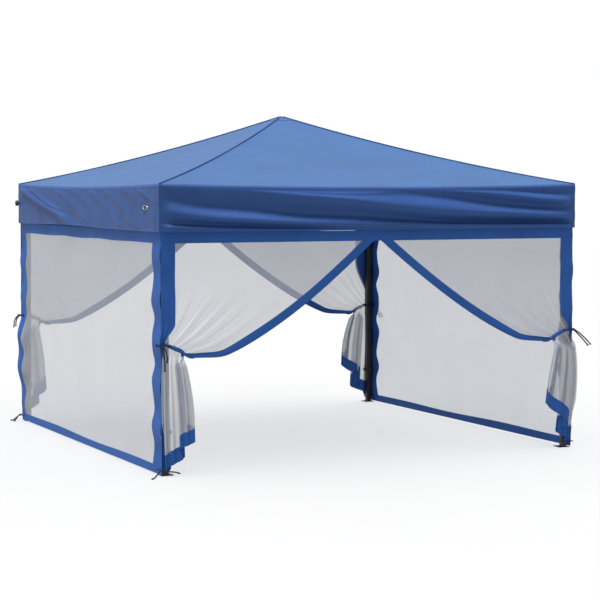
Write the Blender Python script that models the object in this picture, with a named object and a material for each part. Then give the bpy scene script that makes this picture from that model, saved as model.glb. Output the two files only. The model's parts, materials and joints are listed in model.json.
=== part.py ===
"""Pop-up gazebo, 3 m square: a folding scissor frame on four telescopic legs, a canopy and four side walls.

Metres, +Z up. The origin is on the ground under the middle of the canopy. The front is -Y.
Every part is drawn once, for the front side and its front-left corner, and turned round the
Z axis in quarter turns for the other three sides.
"""

import math

import bmesh
import bpy
from mathutils import Matrix, Vector

# Overall sizes
CANOPY_HALF = 1.500  # half the width of the canopy
EAVE_Z = 1.789  # top of the canopy at a corner
PEAK_Z = 2.272  # top of the canopy at the middle
VALANCE_BOTTOM_Z = 1.496
ROOF_CELLS = 12  # cells along each side of the roof's grid
HIP_SAG = 0.035  # how far the cloth hangs below a straight line from peak to corner
EAVE_SAG = 0.020  # how far the eave dips between two corners
CLOTH = 0.0025  # thickness of the canopy cloth

# Scissor frame
LEG_AT = 1.452  # x and y of a leg's centre
CORNER_PIVOT = 0.050  # from a leg's centre to its pivots, along the side
SIDE_PIVOT = 0.030  # from the middle of a side to a connector's side pivots
HUB_PIVOT = 0.045  # from the centre line to a hub's pivots
RADIAL_PIVOT = CORNER_PIVOT + SIDE_PIVOT - HUB_PIVOT  # from a connector inwards to its radial pivot
UPPER_Z = 1.735  # all the upper pivots
LOWER_Z = 1.485  # all the lower pivots, with the frame open
BAR_SPAN = LEG_AT - CORNER_PIVOT - SIDE_PIVOT  # level distance between a bar's two end pivots
BAR_LENGTH = math.hypot(BAR_SPAN, UPPER_Z - LOWER_Z)
BAR_THICK = 0.011
BAR_HALF_WIDTH = 0.012
BAR_OFFSET = 0.0065  # from the plane of a truss to the middle of each of its two layers of bars

# Rivets and holes
RIVET_R = 0.0040
RIVET_HOLE_R = 0.0046
RIVET_HEAD_R = 0.0080
RIVET_HEAD = 0.0026
SLACK = 0.0004  # gap left between faces that rub
ROUND_SIDES = 8
ROUND_END_STEPS = 5  # straight pieces in the half circle at the end of a bar or an ear
EAR_THICK = 0.0050
EAR_HALF = 0.0110
OVERLAP = 0.004  # how far one solid starts inside the next that it is joined to
CUT_PAST = 0.010  # how far a cutter runs past the faces that it cuts
SHARP = math.radians(35)  # a sharper edge than this is shaded as an edge

# Hubs, mast and the connectors at the middles of the sides
MAST_HALF = 0.0125
MAST_BELOW_PEAK = 0.030  # from the peak of the cloth down to the top of the mast's tube
PAD_R = 0.030
PAD_FLATNESS = 0.5  # height of the domed pad as a share of a ball's
PAD_SINK = 0.006  # how far the middle of the pad lies below the top of the tube
SOCKET_HALF = MAST_HALF + SLACK
SOCKET_OUTER = 0.0175
SOCKET_TOP = 0.055
SOCKET_FLOOR = -0.010
HUB_HALF = 0.024
HUB_HALF_HEIGHT = 0.019
CONNECTOR_HALF = 0.0165
CONNECTOR_OUT = 0.012
CONNECTOR_IN = 0.020
CONNECTOR_HALF_HEIGHT = 0.015

# Legs
OUTER_HALF = 0.0210
OUTER_WALL = 0.0022
OUTER_BOTTOM_Z = 0.245
LEG_TOP_Z = 1.788
BRACKET_BELOW = 0.030  # from the upper pivots down to the foot of a leg's top bracket
BORE_BELOW = 0.040  # from the upper pivots down to the end of the leg's bore
INNER_HALF = 0.0180
INNER_WALL = 0.0020
INNER_TOP_Z = 0.620
COLLAR_HALF = 0.0255
COLLAR_TOP_Z = 0.288
FOOT_HALF = 0.040
FOOT_THICK = 0.004
BORE_FLOOR = 0.001  # the inner tube is hollow down to this far above its foot plate
FOOT_SHIFT = 0.008  # the foot plate stands this far inwards of its leg

# Sliders and push buttons
SLIDER_BORE_HALF = 0.0215
SLIDER_BELOW = 0.050
SLIDER_ABOVE = 0.020
BOSS_HALF = 0.010
BOSS_OUT = 0.0375
BOSS_POCKET = 0.0280
BUTTON_DROP = 0.033  # from a slider's pivots down to its button
COLLAR_BUTTON_Z = 0.266
BUTTON_TIP = 0.0315
BUTTON_CAP_IN = 0.0410
BUTTON_CAP_OUT = 0.0460
BUTTON_CAP_R = 0.0075
BUTTON_CAP_SIDES = 12

# Walls
WALL_INNER = 1.4855
WALL_OUTER = 1.4885
WALL_HALF = 1.4840
WALL_BOTTOM_Z = 0.008
WALL_TOP_Z = 1.505
DOOR_PEAK_Z = 1.433  # where the two curtains part
CURTAIN_LOW_Z = 0.733  # lowest point of a curtain that is tied back
CURTAIN_LOW_AT = 1.200
CURTAIN_SWEEP = 1.5  # how quickly the curtain's edge flattens out away from the middle of the door
CURTAIN_STEPS = 10
# The curtain's edge past its lowest point, as distances from the middle of the door and heights:
# the bunch at the tie, the tail that hangs below it, and the foot of the tail beside the leg
CURTAIN_GATHER = ((1.290, 0.742), (1.385, 0.775))
CURTAIN_TAIL = ((1.335, 0.700), (1.300, 0.585), (1.265, 0.400), (1.260, 0.320), (1.350, 0.220))
CURTAIN_FOOT = ((1.350, 0.125), (1.435, 0.065), (1.435, WALL_BOTTOM_Z))

SIDES = (
    ("front", "left", "right"),
    ("right", "front", "back"),
    ("back", "right", "left"),
    ("left", "back", "front"),
)
CORNERS = ("front_left", "front_right", "back_right", "back_left")


def clear_scene():
    for obj in list(bpy.data.objects):
        bpy.data.objects.remove(obj, do_unlink=True)


def material(name, colour, roughness, metallic=0.0):
    made = bpy.data.materials.new(name)
    made.use_nodes = True
    shader = made.node_tree.nodes["Principled BSDF"]
    shader.inputs["Base Color"].default_value = (*colour, 1.0)
    shader.inputs["Roughness"].default_value = roughness
    shader.inputs["Metallic"].default_value = metallic
    return made


def mesh_of(bm, name):
    bmesh.ops.recalc_face_normals(bm, faces=bm.faces)
    mesh = bpy.data.meshes.new(name)
    bm.to_mesh(mesh)
    bm.free()
    return mesh


def box(low, high):
    """A closed box between two corners."""
    bm = bmesh.new()
    bmesh.ops.create_cube(bm, size=1.0)
    low, high = Vector(low), Vector(high)
    size = high - low
    bmesh.ops.scale(bm, vec=size, verts=bm.verts)
    bmesh.ops.translate(bm, vec=(low + high) / 2, verts=bm.verts)
    return mesh_of(bm, "box")


def rod(start, end, radius, sides=ROUND_SIDES):
    """A closed round rod between two points."""
    start, end = Vector(start), Vector(end)
    along = end - start
    turn = along.to_track_quat("Z", "Y").to_matrix().to_4x4()
    bm = bmesh.new()
    bmesh.ops.create_cone(
        bm,
        cap_ends=True,
        segments=sides,
        radius1=radius,
        radius2=radius,
        depth=along.length,
        matrix=Matrix.Translation((start + end) / 2) @ turn,
    )
    return mesh_of(bm, "rod")


def prism(outline, low, high, axis):
    """An outline pushed out between two places along X (axis 0), Y (1) or Z (2)."""
    bm = bmesh.new()

    def point(pair, along):
        values = list(pair)
        values.insert(axis, along)
        return bm.verts.new(values)

    first = [point(pair, low) for pair in outline]
    bm.faces.new(first)
    made = bmesh.ops.extrude_face_region(bm, geom=list(bm.faces))
    moved = [item for item in made["geom"] if isinstance(item, bmesh.types.BMVert)]
    shift = Vector((0, 0, 0))
    shift[axis] = high - low
    bmesh.ops.translate(bm, vec=shift, verts=moved)
    if len(bm.faces) == len(outline) + 1:
        bm.faces.new(first)
    return mesh_of(bm, "prism")


def combined(solids, cutters=()):
    """One mesh from solids that overlap, less the cutters."""
    base = bpy.data.objects.new("base", solids[0])
    bpy.context.scene.collection.objects.link(base)
    tools = []
    for operation, meshes in (("UNION", solids[1:]), ("DIFFERENCE", cutters)):
        for mesh in meshes:
            tool = bpy.data.objects.new("tool", mesh)
            tool.hide_render = True
            tool.display_type = "WIRE"
            bpy.context.scene.collection.objects.link(tool)
            step = base.modifiers.new(operation, "BOOLEAN")
            step.operation = operation
            step.object = tool
            tools.append(tool)
    graph = bpy.context.evaluated_depsgraph_get()
    result = bpy.data.meshes.new_from_object(base.evaluated_get(graph))
    for obj in (base, *tools):
        bpy.data.objects.remove(obj, do_unlink=True)
    return result


def quarter(turns):
    return Matrix.Rotation(turns * math.pi / 2, 4, "Z")


def put(name, mesh, pivot, turns, finish, smooth=False):
    """An object with its origin at the pivot, turned round to its side of the gazebo."""
    obj = bpy.data.objects.new(name, mesh)
    obj.matrix_world = quarter(turns) @ Matrix.Translation(pivot)
    if not mesh.materials:
        mesh.materials.append(finish)
    if smooth:
        mesh.shade_smooth()
        mesh.set_sharp_from_angle(angle=SHARP)
    bpy.context.scene.collection.objects.link(obj)
    return obj


def about(mesh, pivot):
    """The mesh with its pivot moved to its own origin."""
    mesh.transform(Matrix.Translation(-Vector(pivot)))
    return mesh


def mirrored(mesh):
    """The mesh with x and y exchanged, for the other side that meets at a corner."""
    copy = mesh.copy()
    swap = Matrix(((0, 1, 0, 0), (1, 0, 0, 0), (0, 0, 1, 0), (0, 0, 0, 1)))
    copy.transform(swap)
    copy.flip_normals()
    return copy


# ---- bars -----------------------------------------------------------------------------------


def rounded(start, end, radius, both=False):
    """The outline of a strip from start to end along X, with a round end, or one at both ends."""
    turns = [math.pi * (i / ROUND_END_STEPS - 0.5) for i in range(ROUND_END_STEPS + 1)]
    points = [(end + radius * math.cos(a), radius * math.sin(a)) for a in turns]
    if both:
        points += [(start - radius * math.cos(a), -radius * math.sin(a)) for a in turns]
    else:
        points += [(start, radius), (start, -radius)]
    return points


def bar_blank():
    """A flat bar with round ends along +X, with its first pivot at the origin."""
    outline = rounded(0, BAR_LENGTH, BAR_HALF_WIDTH, both=True)
    return prism(outline, -BAR_THICK / 2, BAR_THICK / 2, 1)


def bar_hole(along):
    return rod((along, -BAR_THICK, 0), (along, BAR_THICK, 0), RIVET_HOLE_R)


def high_bar_mesh():
    """The bar that starts high: a hole at each end and one in the middle."""
    holes = [bar_hole(0), bar_hole(BAR_LENGTH / 2), bar_hole(BAR_LENGTH)]
    return combined([bar_blank()], holes)


def low_bar_mesh():
    """The bar that starts low: a hole at each end, and the rivet of the crossing in the middle."""
    middle = BAR_LENGTH / 2
    head = 2 * BAR_OFFSET + BAR_THICK / 2 + SLACK
    rivet = rod((middle, 0, 0), (middle, head + RIVET_HEAD / 2, 0), RIVET_R)
    cap = rod((middle, head, 0), (middle, head + RIVET_HEAD, 0), RIVET_HEAD_R)
    return combined([bar_blank(), rivet, cap], [bar_hole(0), bar_hole(BAR_LENGTH)])


def put_bar(name, mesh, start, end, rivet_side, turns, finish):
    """Lays a bar from one pivot to another, with its rivet on the given side."""
    start, end = Vector(start), Vector(end)
    along = (end - start).normalized()
    facing = Vector(rivet_side)
    up = along.cross(facing)
    obj = put(name, mesh, start, 0, finish, smooth=True)
    axes = Matrix((along, facing, up)).transposed().to_4x4()
    obj.matrix_world = quarter(turns) @ Matrix.Translation(start) @ axes
    return obj


# ---- ears with a rivet, drawn from a centre at the origin -------------------------------------


def ear(near, far, bar_middle, bar_side):
    """An ear along +X beside the plane of a bar, and the rivet through the bar.

    near and far are the ear's ends along X, far being past the pivot by the ear's half height.
    bar_middle is the middle of the bar along Y; bar_side is +1 where the bar is on the +Y side.
    """
    face = bar_middle - bar_side * (BAR_THICK / 2 + SLACK)
    back = face - bar_side * EAR_THICK
    pivot = far - EAR_HALF
    head = bar_middle + bar_side * (BAR_THICK / 2 + SLACK)
    ends = sorted((face, back))
    plate = prism(rounded(near, pivot, EAR_HALF), *ends, 1)
    rivet = rod(
        (pivot, (face + back) / 2, 0),
        (pivot, head + bar_side * RIVET_HEAD / 2, 0),
        RIVET_R,
    )
    cap = rod((pivot, head, 0), (pivot, head + bar_side * RIVET_HEAD, 0), RIVET_HEAD_R)
    return [plate, rivet, cap]


def placed(meshes, matrix):
    for mesh in meshes:
        mesh.transform(matrix)
    return meshes


# ---- hubs and connectors ----------------------------------------------------------------------

def hub_mesh():
    """A block with a square socket on top and an ear for each of the four radial bars."""
    solids = [
        box((-HUB_HALF, -HUB_HALF, -HUB_HALF_HEIGHT), (HUB_HALF, HUB_HALF, HUB_HALF_HEIGHT)),
        box((-SOCKET_OUTER, -SOCKET_OUTER, 0), (SOCKET_OUTER, SOCKET_OUTER, SOCKET_TOP)),
    ]
    for turns in range(4):
        arm = ear(HUB_HALF / 2, HUB_PIVOT + EAR_HALF, -BAR_OFFSET, -1)
        # the first ear is drawn along +X: a turn of -90 degrees points it to the front
        solids += placed(arm, quarter(turns - 1))
    socket = box(
        (-SOCKET_HALF, -SOCKET_HALF, SOCKET_FLOOR),
        (SOCKET_HALF, SOCKET_HALF, SOCKET_TOP + CUT_PAST),
    )
    return combined(solids, [socket])


def connector_mesh(layer):
    """The fitting at the middle of a side. layer is -1 where its side bars are the outer ones."""
    solids = [
        box(
            (-CONNECTOR_HALF, -CONNECTOR_OUT, -CONNECTOR_HALF_HEIGHT),
            (CONNECTOR_HALF, CONNECTOR_IN, CONNECTOR_HALF_HEIGHT),
        )
    ]
    near = CONNECTOR_HALF / 4
    solids += ear(near, SIDE_PIVOT + EAR_HALF, layer * BAR_OFFSET, layer)
    left = ear(near, SIDE_PIVOT + EAR_HALF, -layer * BAR_OFFSET, -layer)
    solids += placed(left, Matrix.Rotation(math.pi, 4, "Z"))
    # the radial bar comes from the centre, on the other layer
    inwards = ear(CONNECTOR_IN / 2, RADIAL_PIVOT + EAR_HALF, layer * BAR_OFFSET, layer)
    solids += placed(inwards, quarter(1))
    return combined(solids)


# ---- legs -------------------------------------------------------------------------------------


def square_block(half, low, high):
    """A block with a square outline round the Z axis."""
    return box((-half, -half, low), (half, half, high))


def corner_ears(layer, height):
    """The two ears of a corner fitting, for the sides that meet there."""
    near = COLLAR_HALF - OVERLAP
    pair = ear(near, CORNER_PIVOT + EAR_HALF, layer * BAR_OFFSET, layer)
    pair += [mirrored(mesh) for mesh in pair]
    return placed(pair, Matrix.Translation((0, 0, height)))


def boss(height):
    """The block on a collar that a push button sits in."""
    return box(
        (COLLAR_HALF - OVERLAP, -BOSS_HALF, height - BOSS_HALF),
        (BOSS_OUT, BOSS_HALF, height + BOSS_HALF),
    )


def boss_hole(height):
    return rod((BOSS_POCKET, 0, height), (BOSS_OUT + CUT_PAST, 0, height), RIVET_HOLE_R)


def outer_leg_mesh():
    """The outer tube, with its top bracket and the collar that guides the inner tube."""
    tube = square_block(OUTER_HALF, OUTER_BOTTOM_Z + OVERLAP, UPPER_Z)
    bracket = square_block(COLLAR_HALF, UPPER_Z - BRACKET_BELOW, LEG_TOP_Z)
    collar = square_block(COLLAR_HALF, OUTER_BOTTOM_Z, COLLAR_TOP_Z)
    bore = square_block(OUTER_HALF - OUTER_WALL, OUTER_BOTTOM_Z - CUT_PAST, UPPER_Z - BORE_BELOW)
    solids = [tube, bracket, collar, boss(COLLAR_BUTTON_Z), *corner_ears(1, UPPER_Z)]
    return combined(solids, [bore, boss_hole(COLLAR_BUTTON_Z)])


def slider_mesh():
    """The sleeve that runs on the outer leg, with its ears and the boss of its latch button."""
    foot, top = LOWER_Z - SLIDER_BELOW, LOWER_Z + SLIDER_ABOVE
    sleeve = square_block(COLLAR_HALF, foot, top)
    bore = square_block(SLIDER_BORE_HALF, foot - CUT_PAST, top + CUT_PAST)
    button_z = LOWER_Z - BUTTON_DROP
    solids = [sleeve, boss(button_z), *corner_ears(-1, LOWER_Z)]
    return combined(solids, [bore, boss_hole(button_z)])


def inner_leg_mesh():
    """The inner tube, welded to its foot plate."""
    tube = square_block(INNER_HALF, FOOT_THICK / 2, INNER_TOP_Z)
    bore = square_block(INNER_HALF - INNER_WALL, FOOT_THICK + BORE_FLOOR, INNER_TOP_Z + CUT_PAST)
    plate = square_block(FOOT_HALF, 0, FOOT_THICK)
    plate.transform(Matrix.Translation((FOOT_SHIFT, FOOT_SHIFT, 0)))
    return combined([tube, plate], [bore])


def button_mesh():
    """A push button along X: a stem in its boss, and a round cap outside."""
    stem = rod((BUTTON_TIP, 0, 0), (BUTTON_CAP_IN + OVERLAP / 2, 0, 0), RIVET_R)
    cap = rod((BUTTON_CAP_IN, 0, 0), (BUTTON_CAP_OUT, 0, 0), BUTTON_CAP_R, BUTTON_CAP_SIDES)
    return combined([stem, cap])


def mast_mesh():
    """The square mast under the peak, with a domed pad on top for the cloth."""
    foot = UPPER_Z + SOCKET_FLOOR + SLACK
    top = PEAK_Z - MAST_BELOW_PEAK
    tube = square_block(MAST_HALF, foot, top)
    bm = bmesh.new()
    bmesh.ops.create_uvsphere(bm, u_segments=16, v_segments=8, radius=PAD_R)
    bmesh.ops.scale(bm, vec=(1, 1, PAD_FLATNESS), verts=bm.verts)
    bmesh.ops.translate(bm, vec=(0, 0, top - PAD_SINK), verts=bm.verts)
    pad = mesh_of(bm, "pad")
    return combined([tube, pad])


# ---- cloth ------------------------------------------------------------------------------------


def roof_height(x, y):
    """Height of the canopy's outside: four slopes that sag between the peak and the eave."""
    share = max(abs(x), abs(y)) / CANOPY_HALF
    across = min(abs(x), abs(y)) / max(abs(x), abs(y), 1e-9)
    straight = PEAK_Z + (EAVE_Z - PEAK_Z) * share
    hip = 4 * HIP_SAG * share * (1 - share)
    eave = EAVE_SAG * share * share * (1 - across * across)
    return straight - hip - eave


def canopy_mesh():
    """A roof grid with a straight valance below its rim."""
    cells = ROOF_CELLS
    step = 2 * CANOPY_HALF / cells
    bm = bmesh.new()
    grid = {}
    for i in range(cells + 1):
        for j in range(cells + 1):
            x = -CANOPY_HALF + i * step
            y = -CANOPY_HALF + j * step
            grid[i, j] = bm.verts.new((x, y, roof_height(x, y)))
    for i in range(cells):
        for j in range(cells):
            corners = [grid[i, j], grid[i + 1, j], grid[i + 1, j + 1], grid[i, j + 1]]
            # each cell is split along the line that runs with the hips
            if (i < cells / 2) == (j < cells / 2):
                bm.faces.new((corners[0], corners[1], corners[2]))
                bm.faces.new((corners[0], corners[2], corners[3]))
            else:
                bm.faces.new((corners[0], corners[1], corners[3]))
                bm.faces.new((corners[1], corners[2], corners[3]))
    rim = [(i, 0) for i in range(cells)] + [(cells, j) for j in range(cells)]
    rim += [(i, cells) for i in range(cells, 0, -1)] + [(0, j) for j in range(cells, 0, -1)]
    below = [bm.verts.new((*grid[key].co.xy, VALANCE_BOTTOM_Z)) for key in rim]
    for at, key in enumerate(rim):
        following = (at + 1) % len(rim)
        bm.faces.new((grid[key], below[at], below[following], grid[rim[following]]))
    return mesh_of(bm, "canopy")


def mesh_wall_mesh():
    """A closed wall panel, drawn at the front."""
    return box((-WALL_HALF, -WALL_OUTER, WALL_BOTTOM_Z), (WALL_HALF, -WALL_INNER, WALL_TOP_Z))


def curtain_edge(across):
    """Height of the swept lower edge of a curtain, at a distance from the middle of the door."""
    rest = 1 - across / CURTAIN_LOW_AT
    return CURTAIN_LOW_Z + (DOOR_PEAK_Z - CURTAIN_LOW_Z) * rest**CURTAIN_SWEEP


def door_wall_mesh():
    """A wall whose two curtains part at the top and are tied back to the legs."""
    sweep = [CURTAIN_LOW_AT * i / CURTAIN_STEPS for i in range(1, CURTAIN_STEPS + 1)]
    half = [(across, curtain_edge(across)) for across in sweep]
    half += [*CURTAIN_GATHER, *CURTAIN_TAIL, *CURTAIN_FOOT]
    half += [(WALL_HALF, WALL_BOTTOM_Z), (WALL_HALF, WALL_TOP_Z)]
    outline = [(0, DOOR_PEAK_Z), *half]
    outline += [(-across, height) for across, height in reversed(half)]
    return prism(outline, -WALL_OUTER, -WALL_INNER, 1)


# ---- assembly ---------------------------------------------------------------------------------


def build_centre(steel, plastic, cloth):
    """The two hubs, the mast between the upper one and the peak, and the canopy."""
    hub = hub_mesh()
    put("upper_hub", hub, (0, 0, UPPER_Z), 0, plastic, smooth=True)
    lower = put("lower_hub", hub, (0, 0, LOWER_Z), 0, plastic)
    lower.matrix_world = Matrix.Translation((0, 0, LOWER_Z)) @ Matrix.Rotation(math.pi, 4, "Y")
    put("peak_mast", mast_mesh(), (0, 0, 0), 0, steel, smooth=True)
    canopy = put("canopy", canopy_mesh(), (0, 0, 0), 0, cloth, smooth=True)
    skin = canopy.modifiers.new("Cloth", "SOLIDIFY")
    skin.thickness = CLOTH
    skin.offset = -1
    skin.use_even_offset = True


def build_radial_bars(turns, side, high, low, steel):
    """The crossed pair of bars from the hubs to the middle of one side."""
    hub_y, rim_y = -HUB_PIVOT, -(LEG_AT - RADIAL_PIVOT)
    layer = BAR_OFFSET
    start, end = (-layer, hub_y, UPPER_Z), (-layer, rim_y, LOWER_Z)
    put_bar(f"{side}_radial_high_bar", high, start, end, (-1, 0, 0), turns, steel)
    start, end = (layer, hub_y, LOWER_Z), (layer, rim_y, UPPER_Z)
    put_bar(f"{side}_radial_low_bar", low, start, end, (-1, 0, 0), turns, steel)


def build_side_bars(turns, side, halves, high, low, steel):
    """The two crossed pairs of bars along one side, from its middle to the corners."""
    outer_y, inner_y = -LEG_AT - BAR_OFFSET, -LEG_AT + BAR_OFFSET
    corner_x = LEG_AT - CORNER_PIVOT
    for half, sign in zip(halves, (-1, 1)):
        start, end = (sign * SIDE_PIVOT, outer_y, UPPER_Z), (sign * corner_x, outer_y, LOWER_Z)
        put_bar(f"{side}_side_high_bar_{half}", high, start, end, (0, -1, 0), turns, steel)
        start, end = (sign * SIDE_PIVOT, inner_y, LOWER_Z), (sign * corner_x, inner_y, UPPER_Z)
        put_bar(f"{side}_side_low_bar_{half}", low, start, end, (0, -1, 0), turns, steel)


def main():
    clear_scene()
    steel = material("black_powder_coated_steel", (0.018, 0.018, 0.020), 0.45, 0.3)
    plastic = material("black_moulded_plastic", (0.022, 0.022, 0.024), 0.55)
    button_plastic = material("grey_button_plastic", (0.16, 0.16, 0.17), 0.5)
    cloth = material("blue_canopy_cloth", (0.035, 0.105, 0.330), 0.75)
    netting = material("white_netting", (0.62, 0.64, 0.66), 0.85)

    high, low = high_bar_mesh(), low_bar_mesh()
    connectors = {"upper": connector_mesh(-1), "lower": connector_mesh(1)}
    outer_pivot = (CORNER_PIVOT, BAR_OFFSET, UPPER_Z)
    slider_pivot = (CORNER_PIVOT, -BAR_OFFSET, LOWER_Z)
    outer_leg = about(outer_leg_mesh(), outer_pivot)
    slider = about(slider_mesh(), slider_pivot)
    inner_leg = inner_leg_mesh()
    button = button_mesh()
    walls = {"door": door_wall_mesh(), "mesh": mesh_wall_mesh()}
    corner = Vector((-LEG_AT, -LEG_AT, 0))

    build_centre(steel, plastic, cloth)
    for turns, (side, *halves) in enumerate(SIDES):
        build_radial_bars(turns, side, high, low, steel)
        build_side_bars(turns, side, halves, high, low, steel)
        for level, height in (("upper", UPPER_Z), ("lower", LOWER_Z)):
            at = (0, -LEG_AT, height)
            put(f"{side}_{level}_connector", connectors[level], at, turns, plastic, smooth=True)
        kind = "mesh" if turns % 2 else "door"
        put(f"{side}_{kind}_wall", walls[kind], (0, 0, 0), turns, netting)

        name = CORNERS[turns]
        put(f"{name}_outer_leg", outer_leg, corner + Vector(outer_pivot), turns, steel, smooth=True)
        put(f"{name}_slider", slider, corner + Vector(slider_pivot), turns, plastic, smooth=True)
        put(f"{name}_inner_leg", inner_leg, corner, turns, steel, smooth=True)
        at = corner + Vector((0, 0, LOWER_Z - BUTTON_DROP))
        put(f"{name}_slider_latch", button, at, turns, button_plastic, smooth=True)
        at = corner + Vector((0, 0, COLLAR_BUTTON_Z))
        put(f"{name}_height_button", button, at, turns, button_plastic, smooth=True)


main()
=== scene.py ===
import json
import math

import bpy
import numpy as np
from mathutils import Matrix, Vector

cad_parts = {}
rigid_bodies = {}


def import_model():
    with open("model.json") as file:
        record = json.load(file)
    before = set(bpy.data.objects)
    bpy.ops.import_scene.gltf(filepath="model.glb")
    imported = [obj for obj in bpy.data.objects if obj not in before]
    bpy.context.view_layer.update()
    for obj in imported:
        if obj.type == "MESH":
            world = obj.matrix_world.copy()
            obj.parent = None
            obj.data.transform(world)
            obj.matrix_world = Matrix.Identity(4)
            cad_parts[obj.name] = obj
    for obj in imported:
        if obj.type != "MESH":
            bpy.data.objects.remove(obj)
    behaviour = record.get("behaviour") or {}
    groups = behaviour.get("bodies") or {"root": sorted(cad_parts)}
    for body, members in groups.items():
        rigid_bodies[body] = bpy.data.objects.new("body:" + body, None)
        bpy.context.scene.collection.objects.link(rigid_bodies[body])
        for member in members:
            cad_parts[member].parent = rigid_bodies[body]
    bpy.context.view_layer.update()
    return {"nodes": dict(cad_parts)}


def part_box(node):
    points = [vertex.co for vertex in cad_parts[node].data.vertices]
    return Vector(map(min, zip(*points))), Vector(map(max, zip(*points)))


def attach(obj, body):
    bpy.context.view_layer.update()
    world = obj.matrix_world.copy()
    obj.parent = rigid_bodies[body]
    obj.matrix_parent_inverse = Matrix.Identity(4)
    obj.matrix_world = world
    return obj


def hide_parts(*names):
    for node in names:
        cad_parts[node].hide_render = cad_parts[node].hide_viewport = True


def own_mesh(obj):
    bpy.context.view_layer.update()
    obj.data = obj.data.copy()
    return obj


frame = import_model()

# Sizes in metres, read from the frame where it holds them
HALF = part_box("canopy")[1].x  # from the centre line to the outside of the canopy
PEAK_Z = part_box("canopy")[1].z
SKIRT_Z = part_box("canopy")[0].z  # bottom of the valance
SKIRT_DEPTH = 0.293  # height of the valance, from the eave to its hem
EAVE_Z = SKIRT_Z + SKIRT_DEPTH
HIP_SAG = 0.035  # how far the roof hangs below a straight slope, half-way down
EAVE_SAG = 0.020  # how much lower the eave is at the middle of a side than at the corners
EAVE_ROUND = 0.012  # radius of the rolled edge between roof and valance
WALL_LOW, WALL_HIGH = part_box("left_mesh_wall")
WALL = -(WALL_LOW.x + WALL_HIGH.x) / 2  # from the centre line to the middle of a wall's cloth
WALL_HALF = WALL + 0.0015  # the walls all but meet at the corners
WALL_BOTTOM = WALL_LOW.z
WALL_TOP = WALL_HIGH.z
BORDER_Z = WALL_TOP - 0.078  # lower edge of a wall's top border
FOOT_SHIFT = 0.008  # a foot plate stands this far inwards of its leg
INNER_LOW, INNER_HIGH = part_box("front_right_inner_leg")
LEG_AT = (INNER_LOW.x + INNER_HIGH.x) / 2 + FOOT_SHIFT  # x and y of a leg's centre
TIE_Z = 0.806  # height at which the curtains are tied back

SIDES = {
    "front": (Vector((1, 0, 0)), Vector((0, -1, 0))),
    "right": (Vector((0, 1, 0)), Vector((1, 0, 0))),
    "back": (Vector((-1, 0, 0)), Vector((0, 1, 0))),
    "left": (Vector((0, -1, 0)), Vector((-1, 0, 0))),
}
# The corner at each end of a side, as seen from outside: left end, then right end
ENDS = {
    "front": ("front_left", "front_right"),
    "right": ("front_right", "back_right"),
    "back": ("back_right", "back_left"),
    "left": ("back_left", "front_left"),
}
CORNERS = {"front_left": (-1, -1), "front_right": (1, -1), "back_right": (1, 1), "back_left": (-1, 1)}


# Camera
CAMERA_AT = (-5.386, -11.792, 1.773)
CAMERA_DOWN = 3.59  # degrees below level
CAMERA_TURN = 25.14  # degrees from looking along y towards x
CAMERA_LENS = 108.44  # in millimetres, for a picture 36 mm wide


def make_camera():
    data = bpy.data.cameras.new("camera")
    data.lens = CAMERA_LENS
    data.sensor_width = 36
    data.clip_end = 200
    camera = bpy.data.objects.new("camera", data)
    camera.location = CAMERA_AT
    camera.rotation_euler = (math.radians(90 - CAMERA_DOWN), 0, math.radians(-CAMERA_TURN))
    bpy.context.scene.collection.objects.link(camera)
    bpy.context.scene.camera = camera


make_camera()


# Materials
def tint(colour, factor=1.0, lift=0.0):
    """The colour made lighter or darker, as red, green, blue and a full alpha."""
    return (*[min(1, lift + part * factor) for part in colour], 1)


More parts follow.
